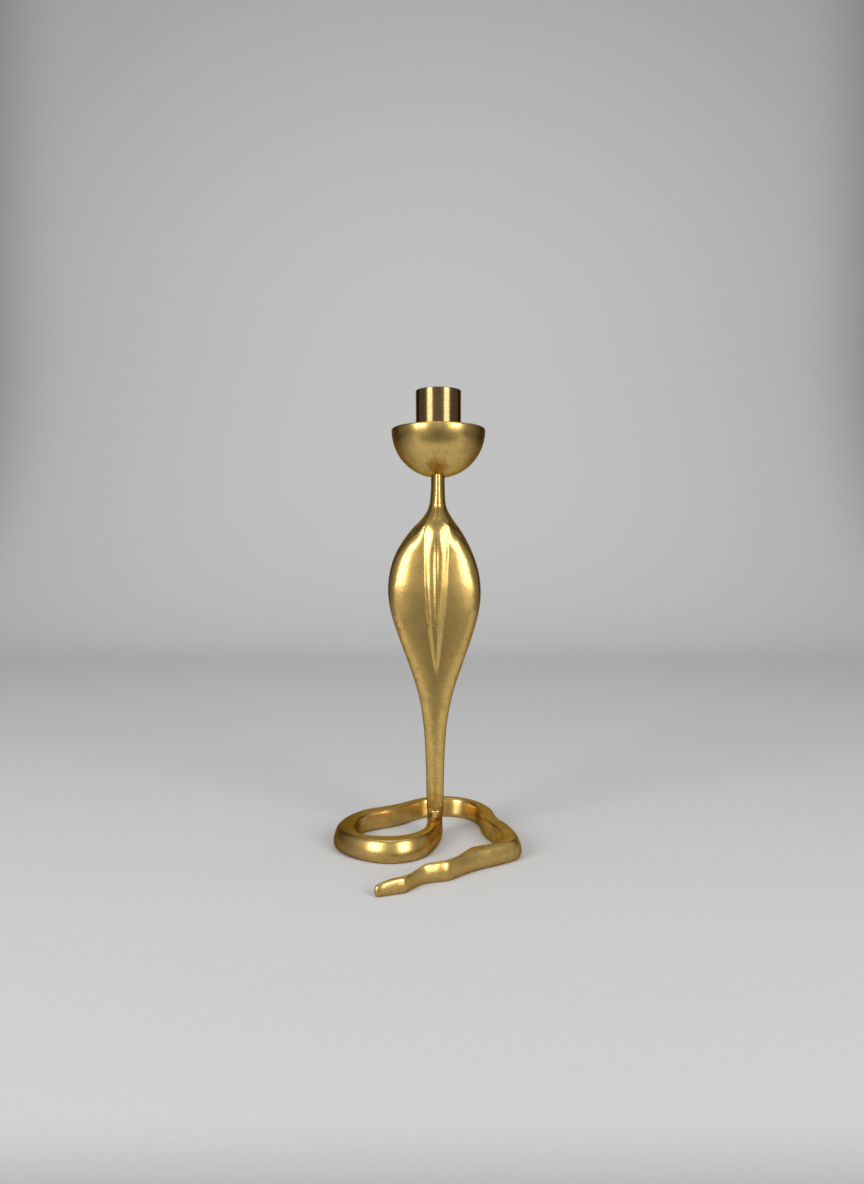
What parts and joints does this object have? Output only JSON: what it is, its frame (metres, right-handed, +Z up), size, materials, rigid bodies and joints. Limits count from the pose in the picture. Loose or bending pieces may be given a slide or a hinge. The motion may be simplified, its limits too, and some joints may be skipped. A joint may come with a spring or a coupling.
{
  "type": "candle holder",
  "caption": "Cast brass candle holder: a coiled tail as foot, a leaf-shaped cobra hood on a slim stem, a round drip bowl and a tubular candle socket.",
  "frame": {"origin": "on the table plane, at the middle of the object's outer box", "axes": "+Z up along the stem towards the candle, -Y towards the viewer that the hood faces, +X to that viewer's right"},
  "size_m": [0.097, 0.1356, 0.2404],
  "materials": {
    "cast_brass": "polished cast brass with a fine grain, small pits and a warm, slightly dulled patina",
    "turned_brass": "smooth turned brass, browner and a little glossier than the castings",
    "fastener_brass": "plain machined brass, unpolished"
  },
  "bodies": {
    "root": {"coil_base": "cast_brass", "cobra_upright": "cast_brass", "drip_bowl": "cast_brass", "candle_socket": "turned_brass", "socket_spacer": "turned_brass", "socket_washer": "fastener_brass", "socket_screw": "fastener_brass", "base_washer": "fastener_brass", "base_screw": "fastener_brass"}
  },
  "joints": []
}
